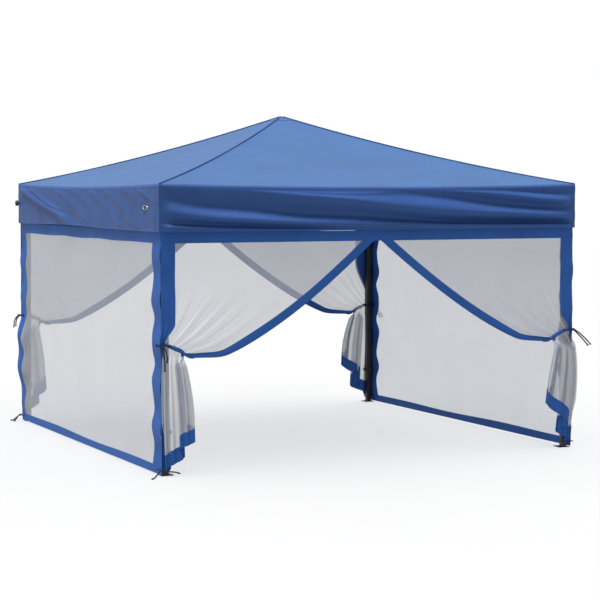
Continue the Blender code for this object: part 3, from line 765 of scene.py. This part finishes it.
def skirt_points(side, along, depth):
    """The valance, from its place along a side and its depth below the eave."""
    edge = np.full(np.shape(along), HALF)
    top = roof_z(along, edge)
    turn = np.clip(depth / EAVE_ROUND, 0, 1)
    roll = EAVE_ROUND * (1 - turn) ** 2
    eave_slope = (top - roof_z(along, edge - EAVE_ROUND)) / EAVE_ROUND
    z_roll = top - eave_slope * EAVE_ROUND * (1 - turn) ** 2 - EAVE_ROUND * turn**2
    below = np.clip((depth - EAVE_ROUND) / (SKIRT_DEPTH - EAVE_ROUND), 0, 1)
    lift = SKIRT_LIFT[side] * np.exp(-(((along + 0.35) / 0.75) ** 2))
    z = np.where(depth < EAVE_ROUND, z_roll, top - EAVE_ROUND - (top - EAVE_ROUND - SKIRT_Z - lift) * below)
    relief = skirt_relief(side, along, depth)
    hem = skirt_relief(side, along, np.full_like(depth, SKIRT_DEPTH))
    relief = relief - below * (hem - np.clip(hem, 0.004, 0.021))
    ends = ease(HALF - np.abs(along), 0.0, 0.10)
    gather = 0.0009 * np.sin(along * math.tau / 0.045 + 2 * np.sin(along * 7))
    puckers = gather * np.exp(-(((depth - 0.022) / 0.012) ** 2))
    out = HALF - 0.0013 - roll + ease(depth, EAVE_ROUND, EAVE_ROUND + 0.03) * ends * relief + ends * puckers
    return place(side, along, out, z)


def skirt_relief(side, along, depth):
    if side in ("front", "back"):
        relief = 1.5 * fold_relief(along if side == "front" else -along, depth, FRONT_PLACES, FRONT_LINES)
        relief = relief + 0.010 * window(depth, 0.03, 0.13, 0.20, SKIRT_DEPTH)
        return relief + 0.0012 * ripple(along * 0.35, depth * 3, 11 if side == "front" else 17, 0.35)
    relief = ridge_relief(along if side == "left" else -along, depth, LEFT_RIDGES)
    near = np.exp(-(((along - EYELET[0]) / 0.09) ** 2) - ((depth - EYELET[1]) / 0.035) ** 2)
    relief = relief * (1 - near)
    return relief + 0.0012 * ripple(along, depth * 2, 23 if side == "left" else 29, 0.22)


def close_valance(piece):
    """Gives a piece on a valance a mesh of its own."""
    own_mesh(piece)


def make_skirts():
    across = np.linspace(-1, 1, 320) * (HALF - 0.0016)
    places, depths = np.meshgrid(across, np.linspace(0, SKIRT_DEPTH, 64))
    for side, (_, outward) in SIDES.items():
        points = skirt_points(side, places, depths)
        skirt = cloth(f"{side}_valance", points, SKIRT_CLOTH, outward, SKIRT_THICK)
        stand_in(skirt, f"{side}_upper_connector")
        close_valance(skirt)


make_skirts()


def on_wall(piece, side, node):
    """Hangs a piece of a wall from its side's connector in place of the CAD node, with a mesh of its own."""
    stand_in(piece, f"{side}_upper_connector", node)
    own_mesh(piece)


SIDE_BORDER = 0.140  # mean width of a net wall's upright borders
FOOT_BORDER = 0.052
HEM = 0.0018  # thickness of the folded border cloth


def border_cloth(name, side, node, points):
    """A piece of a wall's folded blue border."""
    piece = cloth(name, points, WALL_CLOTH, SIDES[side][1], HEM)
    on_wall(piece, side, node)
    return piece


def wall_depth(side, along, z):
    """How far the cloth of a net wall stands out from its plane."""
    x = np.asarray(along, float)
    wave = 0.0035 * ripple(x, z, 41 if side == "left" else 47, 0.7)
    sides = ease(np.abs(x), WALL_HALF - 0.30, WALL_HALF)
    flutter = 0.006 * sides * np.sin(z * math.tau / 0.27 + x)
    hold = window(z, WALL_BOTTOM, 0.15, WALL_TOP - 0.12, WALL_TOP - 0.03)
    bulge = 0.0
    if side == "left":
        bulge = 0.030 * ease(-x, WALL_HALF - 0.25, WALL_HALF) * window(z, 0.12, 0.45, 0.62, 0.86)
    return (wave + flutter) * hold + bulge


def inner_edge(side, end, z):
    """The wavy inner edge of an upright border, as a distance from the middle."""
    wave = np.sin(z * math.tau / 0.262 + (0.6 if end > 0 else 2.1))
    wave = wave + 0.35 * np.sin(z * math.tau / 0.151 + 1.7 * end)
    calm = 1 - 0.8 * ease(z, WALL_TOP - 0.35, WALL_TOP - 0.1)
    narrow = 0.055 * (1 - ease(z, 0.70, 0.90)) if (side, end) == ("left", -1) else 0.0
    return WALL_HALF - SIDE_BORDER + narrow - 0.016 * wave * calm


def line(along, z):
    """Points of a wall, as (place along, height)."""
    return np.stack(np.broadcast_arrays(along, z), axis=-1)


def ring(side):
    """The four borders of a net wall as one strip that runs round it."""
    level, upright = np.linspace(0, 1, 150), np.linspace(0, 1, 90)
    foot_in = WALL_BOTTOM + FOOT_BORDER
    z = BORDER_Z + (foot_in - BORDER_Z) * upright
    z_out = WALL_TOP + (WALL_BOTTOM - WALL_TOP) * upright
    right, left = inner_edge(side, 1, z), -inner_edge(side, -1, z)
    foot_wave = 0.006 * np.sin(level * 9 + 1) * np.sin(level * math.pi)
    top_wave = 0.003 * np.sin(level * 23) * np.sin(level * math.pi)
    top_along = WALL_HALF * (2 * level - 1)
    sag = (0.007 if side == "left" else 0.0) * window(top_along, -1.3, -1.0, 0.1, 0.9)
    outer = (
        line(WALL_HALF, z_out),
        line(WALL_HALF * (1 - 2 * level), WALL_BOTTOM),
        line(-WALL_HALF, z_out[::-1]),
        line(top_along, WALL_TOP - sag),
    )
    inner = (
        line(right, z),
        line(right[-1] + (left[-1] - right[-1]) * level, foot_in + foot_wave),
        line(left, z)[::-1],
        line(left[0] + (right[0] - left[0]) * level, BORDER_Z + top_wave),
    )
    share = np.linspace(0, 1, 9)[:, None, None]
    along, z = np.moveaxis(np.concatenate(outer) * (1 - share) + np.concatenate(inner) * share, -1, 0)
    return place(side, along, WALL + wall_depth(side, along, z), z)


def make_net_wall(side):
    node = f"{side}_mesh_wall"
    outward = SIDES[side][1]
    along = np.linspace(-1, 1, 120)[None, :] * (WALL_HALF - 0.03)
    z = np.linspace(WALL_BOTTOM + 0.02, WALL_TOP - 0.02, 70)[:, None]
    net = cloth(f"{side}_wall_net", place(side, along, WALL + wall_depth(side, along, z), z), NET, outward)
    border = border_cloth(f"{side}_wall_border", side, node, ring(side))
    on_wall(net, side, node)


# Curtains. In a curtain's own measures, "share" runs from 0 at the post to 1 at the free edge, and "fall"
# from 0 at the top border through 1 at the tie to 2 at the bottom hem.
TIE_FAR = 0.155  # width of the gathered cloth at the tie
TIE_DROP = 0.065  # how much lower its free edge is there
TURNS = (0.0, 0.20, 0.40, 0.60, 0.76, 0.92, 1.0)  # where the hanging tail turns back on itself
TURN_LAYERS = (0.002, 0.005, 0.009, 0.013, 0.025, 0.033, 0.014)  # each turn's distance from the wall
PLAIN_POST = 0.095  # assumed width of a post border below the tie, laid flat
# For each corner: how far in the tail reaches at each turn, the hem's height at each turn, how far it swells
# outwards, how far the free edge droops above the tie, the width of the post's border, over what height that
# gathers, and whether the tail turns back on itself outwards (1) or inwards (-1)
TAILS = {
    "front_left": dict(
        reach=(0.0, 0.045, 0.010, 0.1325, 0.100, 0.1935, 0.125),
        hem=(0.020, 0.050, 0.034, 0.115, 0.160, 0.211, 0.240),
        swell=0.012, droop=0.49, post=0.095, gather=0.13, turned=1,
    ),
    "front_right": dict(
        reach=(0.0, 0.045, 0.010, 0.1215, 0.0345, 0.2145, 0.142),
        hem=(0.018, 0.050, 0.050, 0.126, 0.165, 0.329, 0.360),
        swell=0.055, droop=0.40, post=0.095, gather=0.13, turned=1,
    ),
    "back_right": dict(
        reach=(0.0, 0.055, 0.022, 0.183, 0.100, 0.276, 0.200),
        hem=(0.030, 0.075, 0.055, 0.141, 0.185, 0.327, 0.355),
        swell=0.020, droop=0.43, post=0.140, gather=0.36, turned=-1,
    ),
    "back_left": dict(
        reach=(0.0, 0.045, 0.015, 0.1145, 0.066, 0.1635, 0.100),
        hem=(0.020, 0.070, 0.050, 0.135, 0.150, 0.235, 0.260),
        swell=0.020, droop=0.45, post=0.080, gather=0.36, turned=-1,
    ),
}


def post_width(corner, z):
    """Width of a door wall's post border, which is drawn together at the tie and stays gathered below it."""
    gathered = 0.020 + 0.022 * ease(TIE_Z - 0.02 - z, 0.0, 0.25)
    return gathered + (TAILS[corner]["post"] - gathered) * ease(z - TIE_Z, 0.0, TAILS[corner]["gather"])


def curtain_points(side, end, share, fall):
    """Points of a curtain. end is -1 or 1: the end of the side that it is tied back to."""
    corner = ENDS[side][0 if end < 0 else 1]
    tail = TAILS[corner]
    seed = list(CORNERS).index(corner)
    share, fall = np.broadcast_arrays(np.asarray(share, float), np.asarray(fall, float))
    down = np.clip(fall, 0, 1)
    hang = np.clip(fall - 1, 0, 1)
    top_in = WALL_HALF - tail["post"] + 0.012
    tie_in = WALL_HALF - 0.008
    top_x = top_in - (top_in - 0.012) * share
    tie_x = tie_in - TIE_FAR * share
    tie_z = TIE_Z + 0.012 - TIE_DROP * share
    top_z = BORDER_Z + 0.012
    x = top_x + (tie_x - top_x) * down
    droop = tail["droop"] * down * (1 - down) ** 0.53 * (1 - 0.3 * ease(down, 0.78, 0.97))
    z = top_z + (tie_z - top_z) * down - droop * share**2.0
    # The edge next to the post follows the post's own edge
    post_x = WALL_HALF - post_width(corner, z) + 0.010
    beside = (post_x - (top_in + (tie_in - top_in) * down)) * (1 - share) ** 8
    x = x + beside
    # The folds fan out from the tie and fade towards the top
    phase = math.tau * (6.5 * share + 0.16 * np.sin(math.tau * (1.7 * share + 0.3 * seed)))
    pleat = np.sin(phase) + 0.35 * np.sin(2.3 * phase + seed) + 0.2 * np.sin(4.1 * phase + 1)
    strength = 0.0044 * ease(down, 0.30, 0.95) * ease(share, 0.02, 0.20) * (1 - 0.75 * ease(share, 0.85, 1.0))
    slack = 0.006 * ripple(x, z, 60 + seed, 0.6) * window(down, 0.02, 0.2, 0.5, 0.9) * ease(share, 0.05, 0.25)
    under_post = 0.0026 * (1 - ease(share, 0.04, 0.14)) * ease(down, 0.0, 0.1)
    out = WALL - under_post - 0.007 * ease(down, 0.7, 0.95) + strength * pleat + slack
    # Below the tie the cloth hangs in turns that widen downwards
    opened = 0.62 + 0.38 * (1 - (1 - np.clip(hang / 0.8, 0, 1)) ** 2)
    turned_in = eased_line(share, TURNS, tail["reach"])
    turned_in = turned_in + 0.032 * ease(hang, 0.60, 0.85) * (1 - ease(share, 0.0, 0.2))
    swell = tail["swell"] * np.sin(math.pi * np.clip(hang, 0, 1) ** 0.75)
    tail_x = WALL_HALF - 0.014 + swell * (1 - 0.55 * share) - turned_in * opened
    hem_z = np.interp(share, TURNS, tail["hem"])
    layer = np.interp(share, TURNS, TURN_LAYERS)
    small = np.sin(math.tau * 17 * share + seed) + 0.5 * np.sin(math.tau * 29 * share + 2 * seed)
    small = small * (1 - 0.5 * ease(hang, 0.5, 1.0)) * (1 - 0.8 * ease(share, 0.90, 0.95))
    tail_out = WALL + tail["turned"] * (0.003 + layer * (0.6 + 0.6 * opened) + 0.0080 * small)
    leave = ease(hang, 0.0, 0.16)
    below = hang > 0
    x = np.where(below, tie_x + beside + (tail_x - tie_x - beside) * leave, x)
    out = np.where(below, out + (tail_out - out) * leave, out)
    z = np.where(below, tie_z + (hem_z - tie_z) * hang, z)
    return place(side, end * x, out, z)


def edge_share(side, end, fall, width):
    """The share at which a band of that width along the free edge begins, at each fall."""
    step = 1e-3
    full = np.ones_like(fall)
    edge = curtain_points(side, end, full, fall)
    inside = (edge - curtain_points(side, end, full - step, fall)) / step
    forward = curtain_points(side, end, full, fall + step) - curtain_points(side, end, full, fall - step)
    forward = unit(forward)
    clear = np.linalg.norm(np.cross(inside, forward), axis=-1)
    return 1 - np.clip(width / np.maximum(clear, 1e-4), 0.02, 0.34)


TAIL_BAND = 0.972  # the share at which the band begins below the tie, where it is folded in
HEM_WIDTH = 0.094


def make_curtain(side, end):
    node = f"{side}_door_wall"
    corner = ENDS[side][0 if end < 0 else 1]
    outward = SIDES[side][1]
    share = np.linspace(0, 1, 260)[None, :]
    fall = np.concatenate([np.linspace(0, 1, 90)[:-1], np.linspace(1, 2, 70)])[:, None]
    net = cloth(f"{corner}_curtain_net", curtain_points(side, end, share, fall), CURTAIN_NET, outward)
    fall_down = np.concatenate([np.linspace(0, 1, 110)[:-1], np.linspace(1, 1.97, 60)])[:, None]
    width = 0.056 - 0.026 * ease(fall_down, 0.60, 0.97)
    start = edge_share(side, end, fall_down, width)
    start = start + (TAIL_BAND - start) * ease(fall_down, 1.0, 1.10)
    across = np.linspace(0, 1, 12)[None, :]
    points = curtain_points(side, end, start + (1 - start) * across, fall_down)
    band = border_cloth(f"{corner}_curtain_band", side, node, points)
    hem_start = 2 - HEM_WIDTH / (TIE_Z - np.interp(share, TURNS, TAILS[corner]["hem"]))
    down = np.linspace(0, 1, 8)[:, None]
    points = curtain_points(side, end, share, hem_start + (2 - hem_start) * down)
    hem = border_cloth(f"{corner}_curtain_hem", side, node, points)
    on_wall(net, side, node)
    # The wrap follows the free edge down to the tie and then the tie to the post
    along_edge = curtain_points(side, end, TAIL_BAND, np.linspace(0.95, 0.995, 8))
    along_tie = curtain_points(side, end, np.linspace(0.92, 0.0, 30), 1.0)
    path = np.concatenate([along_edge, along_tie])
    for _ in range(6):
        path[1:-1] = (path[:-2] + 2 * path[1:-1] + path[2:]) / 4
    t = np.linspace(0, 1, len(path))[:, None]
    across = np.linspace(-0.5, 0.5, 19)[None, :]
    width = 0.020 + 0.008 * ease(t, 0.1, 0.35) - 0.012 * ease(t, 0.5, 0.95)
    lift = -0.003 + 0.005 * ease(t, 0.05, 0.25) + 0.009 * ease(t, 0.1, 0.4) * np.cos(math.pi * across)
    lift = lift + 0.0032 * np.sin(math.tau * 2.2 * across + 7 * t) * ease(t, 0.1, 0.4)
    rise, stand = (width * across)[..., None] * np.array((0, 0, 1.0)), lift[..., None] * np.array(outward)
    wrap = border_cloth(f"{corner}_curtain_wrap", side, node, path[:, None, :] + rise + stand)


def make_door_wall(side):
    """The top border of a doorway wall and the borders at its two posts, which are gathered at the ties."""
    node = f"{side}_door_wall"
    along = np.linspace(-1, 1, 260)[None, :] * WALL_HALF
    z = np.linspace(WALL_TOP, BORDER_Z, 9)[:, None]
    puckers = 0.0016 * (1 + np.sin(along * math.tau / 0.13 + 2 * np.sin(along * 3)))
    puckers = puckers * ease(WALL_TOP - z, 0.02, 0.07)
    sag = (0.012 if side == "front" else 0.0) * window(along, -0.66, -0.34, -0.12, 0.02)
    z = z - sag * ease(z, BORDER_Z, WALL_TOP)
    points = place(side, along, WALL + 0.0014 + puckers, z)
    top = border_cloth(f"{side}_top_border", side, node, points)
    flat = (2 * WALL_HALF, WALL_TOP - BORDER_Z)
    for end in (-1, 1):
        corner = ENDS[side][0 if end < 0 else 1]
        height = np.linspace(BORDER_Z, 0.03, 150)[:, None]
        across = np.linspace(0, 1, 31)[None, :]
        gather = ease(TIE_Z + 0.13 - height, 0.0, 0.13)
        x = WALL_HALF - post_width(corner, height) * across
        fold = 0.0030 * (1 + np.sin(math.tau * 2.5 * across + 0.6))
        fold = fold * ease(TIE_Z + 0.40 - height, 0.0, 0.40)
        fold = fold + 0.0045 * gather * (np.sin(math.tau * 3.2 * across + 0.4 * np.sin(height * 9)) - 0.7)
        flutter = 0.003 * np.sin(height * math.tau / 0.31 + end)
        flutter = flutter * ease(BORDER_Z - height, 0.0, 0.2) * (1 - gather)
        out = WALL + 0.0022 + fold + flutter - 0.004 * ease(TIE_Z - height, 0.0, 0.06)
        points = place(side, end * x, out, height)
        post = border_cloth(f"{side}_{corner}_post_border", side, node, points)
        flat = (TAILS[corner]["post"], BORDER_Z - 0.03)
        area = flat[0] * (BORDER_Z - TIE_Z) + PLAIN_POST * TIE_Z
        area = min(area, flat[0] * flat[1])
        make_curtain(side, end)


for side in ("left", "right"):
    make_net_wall(side)
for side in ("front", "back"):
    make_door_wall(side)


# Small fittings
RIM = (  # an eyelet's rim, as (radius, distance out)
    (0.0118, -0.004), (0.0122, 0.0005), (0.0130, 0.0022), (0.0142, 0.0026), (0.0154, 0.0014),
    (0.0158, -0.0010), (0.0150, -0.004),
)
# a dark cup inside an eyelet, painted shade in its hole, as (radius, distance out)
CUP = ((0.0124, 0.0000), (0.0118, -0.0020), (0.0060, -0.0024), (0.0003, -0.0025))
KNOB_STEM = ((0.0004, -0.004), (0.0100, -0.004), (0.0100, 0.0020), (0.0062, 0.0030), (0.0062, 0.0120))
KNOB_HEAD = (
    (0.0062, 0.0118), (0.0190, 0.0130), (0.0215, 0.0165), (0.0215, 0.0255), (0.0185, 0.0300),
    (0.0080, 0.0315), (0.0004, 0.0317),
)


def make_eyelets():
    """An oval metal eyelet through the left and the right valance, with a dark cup in the frame's black
    powder coat inside it as painted shade in its hole.
    """
    for side in ("left", "right"):
        outward = SIDES[side][1]
        centre = skirt_points(side, *(np.array([value]) for value in EYELET))[0] + 0.004 * np.array(outward)
        for name, profile, material in (("eyelet", RIM, METAL), ("eyelet_hole", CUP, STEEL)):
            piece = turned(f"{side}_{name}", profile, centre, outward, material, oval=2.7)
            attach(piece, f"{side}_upper_connector")
            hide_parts("canopy")
            close_valance(piece)


def make_knob():
    """The black screw knob that stands out at the back left corner."""
    centre = np.array((-HALF - 0.001, LEG_AT + 0.012, EAVE_Z - 0.140))
    for name, profile, lobes, depth in (("knob_stem", KNOB_STEM, 0, 0), ("knob_head", KNOB_HEAD, 6, 0.06)):
        piece = turned(name, profile, centre, (-1, 0, 0), PLASTIC, lobes=lobes, lobe_depth=depth)
        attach(piece, "back_left_outer_leg")


make_eyelets()
make_knob()


# Frame finishes
def finish_frame():
    for name, node in frame["nodes"].items():
        if "button" in name or "latch" in name:
            material = BUTTON
        elif any(word in name for word in ("hub", "connector", "slider", "mast")):
            material = PLASTIC
        else:
            material = STEEL
        node.data.materials.clear()
        node.data.materials.append(material)


finish_frame()


# Floor and light
FLOOR_GREY = 0.60


def make_floor():
    """A pale round floor, just below the feet."""
    edge = np.linspace(0, math.tau, 97)[:-1]
    points = np.stack([40 * np.cos(edge), 40 * np.sin(edge), np.full_like(edge, -0.0006)], axis=-1)
    grey = (FLOOR_GREY, FLOOR_GREY, FLOOR_GREY)
    made = Shader("floor_paint", grey, 0.9)
    base = made.mix(made.noise(0.6, 3), tint(grey, 1, -0.01), tint(grey, 1, 0.01))
    floor = mesh_object("floor", points, [list(range(len(edge)))], made.finish(Base_Color=base))
    return floor


def sun(name, strength, angle, towards, linked, state, shadow=True):
    """A lamp that shines on the linked objects only, or, with state EXCLUDE, on all but those."""
    data = bpy.data.lights.new(name, "SUN")
    data.energy = strength
    data.angle = math.radians(angle)
    data.use_shadow = shadow
    lamp = bpy.data.objects.new(name, data)
    lamp.rotation_euler = Vector(towards).to_track_quat("Z", "Y").to_euler()
    bpy.context.scene.collection.objects.link(lamp)
    group = bpy.data.collections.new(name + "_receivers")
    for obj in linked:
        group.objects.link(obj)
    for entry in group.collection_objects:
        entry.light_linking.link_state = state
    lamp.light_linking.receiver_collection = group


SKY = 0.60  # brightness of the plain sky as a light
SKY_SEEN = 1.02  # and behind the object


def make_light(floor):
    world = bpy.data.worlds.new("studio")
    bpy.context.scene.world = world
    world.use_nodes = True
    tree = world.node_tree
    background = tree.nodes["Background"]
    path = tree.nodes.new("ShaderNodeLightPath")
    strength = tree.nodes.new("ShaderNodeMapRange")
    strength.inputs["To Min"].default_value = SKY
    strength.inputs["To Max"].default_value = SKY_SEEN
    tree.links.new(path.outputs["Is Camera Ray"], strength.inputs["Value"])
    tree.links.new(strength.outputs[0], background.inputs["Strength"])
    background.inputs["Color"].default_value = (1, 1, 1, 1)
    sun("key", 6.8, 20, (-0.21, -0.04, 0.97), [floor], "EXCLUDE")
    sun("floor_fill", 3.4, 60, (0, 0, 1), [floor], "INCLUDE", shadow=False)
    inner = [piece for piece in bpy.data.objects if piece.name.endswith(("right_wall_net", "curtain_net"))]
    sun("net_fill", 2.5, 60, (-0.87, -0.42, 0.25), inner, "INCLUDE", shadow=False)
    bpy.context.scene.view_settings.view_transform = "Standard"


make_light(make_floor())
